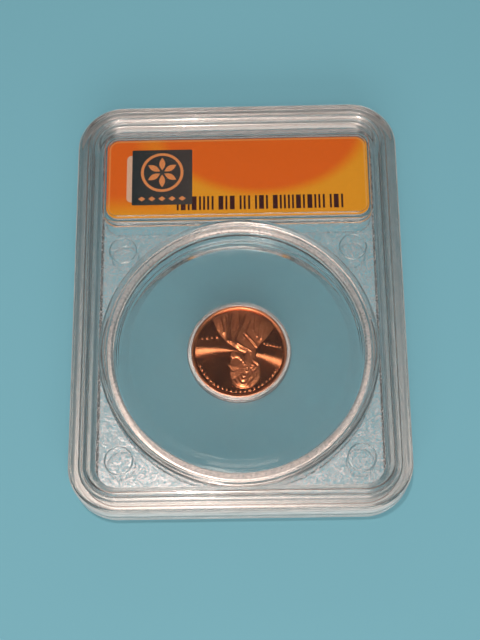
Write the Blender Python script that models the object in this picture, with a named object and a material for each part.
"""Welded display slab for one small coin, built as separate closed solids.

Frame: the origin is the centre of the back face, where the slab rests. +Z is the shortest side and
points out of the front face, +Y is the longest side and points to the label end, +X is to the right.
Rim outlines are given as pairs (inset from the outer edge, height above the parting plane).
"""

import math

import bmesh
import bpy

MM = 0.001

# Driving dimensions, in millimetres
SLAB_WIDTH = 66.0
SLAB_HEIGHT = 86.0
SLAB_THICKNESS = 8.0
CORNER_RADIUS = 9.4
WINDOW_CENTRE = (0.0, -10.5)
COIN_DIAMETER = 19.05
COIN_THICKNESS = 1.52
LABEL_SIZE = (54.3, 18.2)
LABEL_CENTRE = (0.0, 27.75)
LABEL_CORNER = 2.4

# Fineness of the round shapes
CORNER_STEPS = 8
ROUND_STEPS = 96
PAD_STEPS = 24
EDGE_STEPS = 4
BEAD_STEPS = 4

# Heights above or below the parting plane, half way up the slab
MID_Z = SLAB_THICKNESS / 2
HALF_GAP = 0.03
FIELD_HEIGHT = 2.9
CEILING_HEIGHT = 1.5
BACK_MARGIN_HEIGHT = 3.55
RIB_ROOT = 0.2
CUTTER_REACH = 1.0

# Rim of each shell; a bead is (first inset, last inset, base height, crest height)
FIELD_INSET = 5.2
CAVITY_INSET = 3.2
CAVITY_DRAFT = 0.1
PARTING_BEVEL = 0.15
FRONT_EDGE_ROUNDING = 1.0
FRONT_LAND_INSET = 2.1
FRONT_OUTER_BEAD = (2.22, 3.28, 3.45, 3.66)
FRONT_INNER_BEAD = (3.40, 4.75, 3.15, 3.38)
BACK_EDGE_ROUNDING = 0.8
BACK_MARGIN_INSET = 2.25
BACK_RIDGE_INSETS = (2.35, 4.6)
TONGUE_INSETS = (1.4, 2.2)
TONGUE_HEIGHT = 0.6
TONGUE_CLEARANCE = 0.1

# Ring round the coin window: a band, a groove and a bead
RING_OUTER = 27.65
RING_INNER = 24.9
RING_TOP = 3.3
RING_SHOULDER = 0.3
RING_BAND_OUTER = 26.35
RING_GROOVE = 26.6
RING_BEAD = (26.7, 27.65, 3.1, 3.22)
SEAT_WALL_OUTER = 26.9

# Label window, and the small round pads in the field's corners
LABEL_WINDOW_HALF = 27.5
LABEL_WINDOW_BOTTOM = 16.05
LABEL_WINDOW_MARGIN = 0.3
LABEL_WINDOW_CORNER = 3.2
LABEL_WINDOW_TOP = 3.1
LABEL_WINDOW_BEVEL = 0.1
PAD_CENTRES = ((-23.3, 10.9), (23.3, 10.9), (-23.3, -32.6), (23.3, -32.6))
PAD_RADIUS = 2.85
PAD_RIM_WIDTH = 0.3
PAD_RIM_HEIGHT = 0.07

# Label card and the walls of its pocket
CARD_HALF_THICKNESS = 0.2
POCKET_CLEARANCE = 0.25
POCKET_WALL = 0.7
LEDGE_WIDTH = 0.55
LEDGE_HEIGHT = 0.25

# Foil square on the card
FOIL_SIZE = 12.55
FOIL_CENTRE = (-15.67, 28.05)
FOIL_THICKNESS = 0.06
FOIL_GAP = 0.02
FOIL_CORNER = 0.25

# Coin seat
INSERT_RADIUS = 24.5
INSERT_RIM_WIDTH = 0.5
INSERT_TAPER = 2.1
INSERT_RIM_HEIGHT = 1.44
WEB_HEIGHT = 0.7
COLLAR_OUTER = 10.2
COLLAR_TOP = 1.3
COLLAR_BOTTOM = -1.1
BORE_RADIUS = 9.63
LEDGE_RADIUS = 9.1
SNAP_LIP_RADIUS = 9.42
COIN_BOTTOM = -0.6
COIN_PLAY = 0.05
COIN_RIM_WIDTH = 0.6
COIN_BEVEL = 0.1
COIN_FIELD_DEPTH = 0.12
COIN_TURN = math.radians(174.0)


def clear_scene():
    for item in list(bpy.data.objects):
        bpy.data.objects.remove(item, do_unlink=True)


def material(name, colour, roughness, metallic=0.0, transmission=0.0, alpha=1.0):
    made = bpy.data.materials.new(name)
    made.use_nodes = True
    shader = made.node_tree.nodes["Principled BSDF"]
    shader.inputs["Base Color"].default_value = (*colour, 1.0)
    shader.inputs["Roughness"].default_value = roughness
    shader.inputs["Metallic"].default_value = metallic
    shader.inputs["Transmission Weight"].default_value = transmission
    shader.inputs["Alpha"].default_value = alpha
    made.diffuse_color = (*colour, alpha)
    return made


def rounded_outline(centre, half_size, corner):
    """Points of a rounded rectangle, anticlockwise, starting at the right side's lower end."""
    points = []
    corners = ((1, -1, -90), (1, 1, 0), (-1, 1, 90), (-1, -1, 180))
    for side_x, side_y, first_angle in corners:
        turn_x = centre[0] + side_x * (half_size[0] - corner)
        turn_y = centre[1] + side_y * (half_size[1] - corner)
        for step in range(CORNER_STEPS + 1):
            angle = math.radians(first_angle + 90 * step / CORNER_STEPS)
            points.append((turn_x + corner * math.cos(angle), turn_y + corner * math.sin(angle)))
    return points


def inset_outline(inset):
    """The slab's own outline, moved inwards."""
    half_size = (SLAB_WIDTH / 2 - inset, SLAB_HEIGHT / 2 - inset)
    return rounded_outline((0, 0), half_size, CORNER_RADIUS - inset)


def circle_outline(centre, radius, steps):
    points = []
    for step in range(steps):
        angle = 2 * math.pi * step / steps
        points.append((centre[0] + radius * math.cos(angle), centre[1] + radius * math.sin(angle)))
    return points


def arc(centre, radius, first_angle, last_angle, steps):
    points = []
    for step in range(steps + 1):
        angle = math.radians(first_angle + (last_angle - first_angle) * step / steps)
        points.append((centre[0] + radius * math.cos(angle), centre[1] + radius * math.sin(angle)))
    return points


def bead_points(bead):
    """(distance, height) points over a rounded bead between two distances."""
    first, last, base, crest = bead
    points = []
    for step in range(BEAD_STEPS + 1):
        share = step / BEAD_STEPS
        points.append((first + (last - first) * share, base + (crest - base) * 4 * share * (1 - share)))
    return points


def solid(name, levels, is_ring=False):
    """One closed solid through (outline, z) levels: capped at both ends, or a ring closed on itself."""
    mesh = bmesh.new()
    loops = []
    for outline, z in levels:
        loops.append([mesh.verts.new((x * MM, y * MM, z * MM)) for x, y in outline])
    count = len(loops[0])
    pairs = list(zip(loops, loops[1:]))
    if is_ring:
        pairs.append((loops[-1], loops[0]))
    for lower, upper in pairs:
        for index in range(count):
            following = (index + 1) % count
            mesh.faces.new((lower[index], lower[following], upper[following], upper[index]))
    if not is_ring:
        mesh.faces.new(loops[0])
        mesh.faces.new(loops[-1])
    bmesh.ops.recalc_face_normals(mesh, faces=mesh.faces)
    data = bpy.data.meshes.new(name)
    mesh.to_mesh(data)
    mesh.free()
    data.shade_smooth()
    data.set_sharp_from_angle(angle=math.radians(30))
    made = bpy.data.objects.new(name, data)
    bpy.context.scene.collection.objects.link(made)
    return made


def turned(name, profile, is_ring=False, centre=WINDOW_CENTRE, steps=ROUND_STEPS):
    """A solid turned from (radius, height) points, about the coin window's axis unless told otherwise."""
    levels = [(circle_outline(centre, radius, steps), MID_Z + height) for radius, height in profile]
    return solid(name, levels, is_ring)


def apply_tool(target, tool, operation):
    """Join or cut with a helper solid, which stays hidden and isn't a part of the slab."""
    tool.hide_render = True
    tool.display_type = "WIRE"
    modifier = target.modifiers.new(tool.name, "BOOLEAN")
    modifier.operation = operation
    modifier.solver = "EXACT"
    modifier.object = tool


def rim_levels(profile, side):
    return [(inset_outline(inset), MID_Z + side * height) for inset, height in profile]


def side_wall(rounding, top):
    """From the bevel at the parting plane up the side and over its rounded edge."""
    profile = [(PARTING_BEVEL, HALF_GAP), (0.0, HALF_GAP + PARTING_BEVEL)]
    corner = arc((0, top - rounding), rounding, 0, 90, EDGE_STEPS)
    return profile + [(rounding - x, y) for x, y in corner]


def front_rim():
    """Tall outer land, then two rounded beads down to the recessed field."""
    profile = side_wall(FRONT_EDGE_ROUNDING, MID_Z)
    profile += [(FRONT_LAND_INSET, MID_Z)]
    profile += bead_points(FRONT_OUTER_BEAD)
    profile += bead_points(FRONT_INNER_BEAD)
    profile += [(FIELD_INSET, FIELD_HEIGHT)]
    return profile


def back_rim():
    """Stacking ridge set in from the edge, so it nests inside the front land of the slab below."""
    near, far = BACK_RIDGE_INSETS
    profile = side_wall(BACK_EDGE_ROUNDING, BACK_MARGIN_HEIGHT)
    profile += [(BACK_MARGIN_INSET, BACK_MARGIN_HEIGHT), (near, MID_Z), (far, MID_Z)]
    profile += [(FIELD_INSET, FIELD_HEIGHT)]
    return profile


def perimeter_ring(name, insets, heights, side):
    near, far = insets
    low, high = heights
    profile = [(near, low), (near, high), (far, high), (far, low)]
    return solid(name, rim_levels(profile, side), is_ring=True)


def pocket_outline(margin):
    half_size = (LABEL_SIZE[0] / 2 + margin, LABEL_SIZE[1] / 2 + margin)
    return rounded_outline(LABEL_CENTRE, half_size, LABEL_CORNER + margin)


def pocket_walls(name, side):
    """Wall round the card's edge, with a ledge that holds the card's margin."""
    root = CEILING_HEIGHT + RIB_ROOT
    profile = [
        (POCKET_CLEARANCE + POCKET_WALL, HALF_GAP),
        (POCKET_CLEARANCE + POCKET_WALL, root),
        (POCKET_CLEARANCE - LEDGE_WIDTH, root),
        (POCKET_CLEARANCE - LEDGE_WIDTH, LEDGE_HEIGHT),
        (POCKET_CLEARANCE, LEDGE_HEIGHT),
        (POCKET_CLEARANCE, HALF_GAP),
    ]
    levels = [(pocket_outline(margin), MID_Z + side * height) for margin, height in profile]
    return solid(name, levels, is_ring=True)


def label_window(name, side):
    """Smooth plateau over the label, slightly proud of the textured field."""
    top_y = SLAB_HEIGHT / 2 - FIELD_INSET - LABEL_WINDOW_MARGIN
    centre = (0, (top_y + LABEL_WINDOW_BOTTOM) / 2)
    half_size = (LABEL_WINDOW_HALF, (top_y - LABEL_WINDOW_BOTTOM) / 2)
    bevel = LABEL_WINDOW_BEVEL
    inner_half = (half_size[0] - bevel, half_size[1] - bevel)
    outline = rounded_outline(centre, half_size, LABEL_WINDOW_CORNER)
    inner = rounded_outline(centre, inner_half, LABEL_WINDOW_CORNER - bevel)
    levels = [
        (outline, MID_Z + side * (FIELD_HEIGHT - RIB_ROOT)),
        (outline, MID_Z + side * (LABEL_WINDOW_TOP - bevel)),
        (inner, MID_Z + side * LABEL_WINDOW_TOP),
    ]
    return solid(name, levels)


def window_ring(name, side):
    """Raised band round the coin window, then a groove and a rounded bead outside it."""
    foot = FIELD_HEIGHT - RIB_ROOT
    profile = [(RING_INNER, foot), (RING_INNER, RING_TOP - RING_SHOULDER)]
    profile += [(RING_INNER + RING_SHOULDER, RING_TOP), (RING_BAND_OUTER, RING_TOP)]
    profile += [(RING_GROOVE, RING_BEAD[2])]
    profile += bead_points(RING_BEAD)
    profile += [(RING_OUTER, foot)]
    return turned(name, [(radius, side * height) for radius, height in profile], is_ring=True)


def pad_rim(name, side, centre):
    """Fine raised outline of a round pad in the field."""
    foot = FIELD_HEIGHT - RIB_ROOT
    profile = [
        (PAD_RADIUS, foot),
        (PAD_RADIUS, FIELD_HEIGHT),
        (PAD_RADIUS - PAD_RIM_WIDTH / 2, FIELD_HEIGHT + PAD_RIM_HEIGHT),
        (PAD_RADIUS - PAD_RIM_WIDTH, FIELD_HEIGHT),
        (PAD_RADIUS - PAD_RIM_WIDTH, foot),
    ]
    signed = [(radius, side * height) for radius, height in profile]
    return turned(name, signed, is_ring=True, centre=centre, steps=PAD_STEPS)


def seat_wall(name, side):
    """Inner ring that locates the coin insert."""
    root = CEILING_HEIGHT + RIB_ROOT
    profile = [
        (SEAT_WALL_OUTER, HALF_GAP),
        (SEAT_WALL_OUTER, root),
        (RING_INNER, root),
        (RING_INNER, HALF_GAP),
    ]
    return turned(name, [(radius, side * height) for radius, height in profile], is_ring=True)


def shell(name, side, rim):
    """Half of the case: side is 1 for the front and -1 for the back."""
    body = solid(name, rim_levels(rim, side))
    cavity_profile = [
        (CAVITY_INSET, -CUTTER_REACH),
        (CAVITY_INSET, HALF_GAP),
        (CAVITY_INSET + CAVITY_DRAFT, CEILING_HEIGHT),
    ]
    cavity = solid(name + "_cavity_cutter", rim_levels(cavity_profile, side))
    apply_tool(body, cavity, "DIFFERENCE")
    apply_tool(body, seat_wall(name + "_seat_wall_tool", side), "UNION")
    apply_tool(body, pocket_walls(name + "_pocket_tool", side), "UNION")
    apply_tool(body, window_ring(name + "_ring_tool", side), "UNION")
    apply_tool(body, label_window(name + "_label_window_tool", side), "UNION")
    for number, centre in enumerate(PAD_CENTRES, start=1):
        apply_tool(body, pad_rim(f"{name}_pad_tool_{number}", side, centre), "UNION")
    return body


def front_shell():
    body = shell("front_shell", 1, front_rim())
    near, far = TONGUE_INSETS
    insets = (near - TONGUE_CLEARANCE, far + TONGUE_CLEARANCE)
    heights = (-CUTTER_REACH, TONGUE_HEIGHT + TONGUE_CLEARANCE)
    groove = perimeter_ring("front_shell_groove_cutter", insets, heights, 1)
    apply_tool(body, groove, "DIFFERENCE")
    return body


def back_shell():
    body = shell("back_shell", -1, back_rim())
    tongue = perimeter_ring("back_shell_tongue_tool", TONGUE_INSETS, (-RIB_ROOT - HALF_GAP, TONGUE_HEIGHT), 1)
    apply_tool(body, tongue, "UNION")
    return body


def coin_insert():
    """Clear disc: deep rim, thinner web, and a collar with a ledge and a snap lip for the coin."""
    coin_top = COIN_BOTTOM + COIN_THICKNESS
    rim_inner = INSERT_RADIUS - INSERT_RIM_WIDTH
    profile = [
        (INSERT_RADIUS, -INSERT_RIM_HEIGHT),
        (INSERT_RADIUS, INSERT_RIM_HEIGHT),
        (rim_inner, INSERT_RIM_HEIGHT),
        (rim_inner - INSERT_TAPER, WEB_HEIGHT),
        (COLLAR_OUTER, WEB_HEIGHT),
        (COLLAR_OUTER, COLLAR_TOP),
        (SNAP_LIP_RADIUS, COLLAR_TOP),
        (SNAP_LIP_RADIUS, coin_top + COIN_PLAY),
        (BORE_RADIUS, coin_top + COIN_PLAY),
        (BORE_RADIUS, COIN_BOTTOM - COIN_PLAY),
        (LEDGE_RADIUS, COIN_BOTTOM - COIN_PLAY),
        (LEDGE_RADIUS, COLLAR_BOTTOM),
        (COLLAR_OUTER, COLLAR_BOTTOM),
        (COLLAR_OUTER, -WEB_HEIGHT),
        (rim_inner - INSERT_TAPER, -WEB_HEIGHT),
        (rim_inner, -INSERT_RIM_HEIGHT),
    ]
    return turned("coin_insert", profile, is_ring=True)


def coin():
    """Round blank with a raised rim on both faces, turning about its own centre."""
    radius = COIN_DIAMETER / 2
    low = COIN_BOTTOM
    high = COIN_BOTTOM + COIN_THICKNESS
    rim = radius - COIN_RIM_WIDTH
    bevel = COIN_BEVEL
    profile = [
        (rim - bevel, low + COIN_FIELD_DEPTH),
        (rim, low),
        (radius - bevel, low),
        (radius, low + bevel),
        (radius, high - bevel),
        (radius - bevel, high),
        (rim, high),
        (rim - bevel, high - COIN_FIELD_DEPTH),
    ]
    made = turned("coin", profile)
    axis_x, axis_y = WINDOW_CENTRE
    for vertex in made.data.vertices:
        vertex.co.x -= axis_x * MM
        vertex.co.y -= axis_y * MM
    made.location = (axis_x * MM, axis_y * MM, 0)
    made.rotation_euler.z = COIN_TURN
    return made


def label_card():
    outline = pocket_outline(0)
    levels = [(outline, MID_Z - CARD_HALF_THICKNESS), (outline, MID_Z + CARD_HALF_THICKNESS)]
    return solid("label_card", levels)


def emblem_foil():
    outline = rounded_outline(FOIL_CENTRE, (FOIL_SIZE / 2, FOIL_SIZE / 2), FOIL_CORNER)
    bottom = MID_Z + CARD_HALF_THICKNESS + FOIL_GAP
    return solid("emblem_foil", [(outline, bottom), (outline, bottom + FOIL_THICKNESS)])


def build():
    clear_scene()
    clear_plastic = {"colour": (0.86, 0.88, 0.88), "roughness": 0.06, "transmission": 1.0, "alpha": 0.35}
    front_shell().data.materials.append(material("clear_front_plastic", **clear_plastic))
    back_shell().data.materials.append(material("clear_back_plastic", **clear_plastic))
    coin_insert().data.materials.append(material("clear_insert_plastic", **clear_plastic))
    coin().data.materials.append(material("copper", (0.72, 0.30, 0.16), 0.18, metallic=1.0))
    label_card().data.materials.append(material("orange_card", (0.82, 0.29, 0.05), 0.55))
    emblem_foil().data.materials.append(material("dark_foil", (0.03, 0.04, 0.05), 0.3))


build()
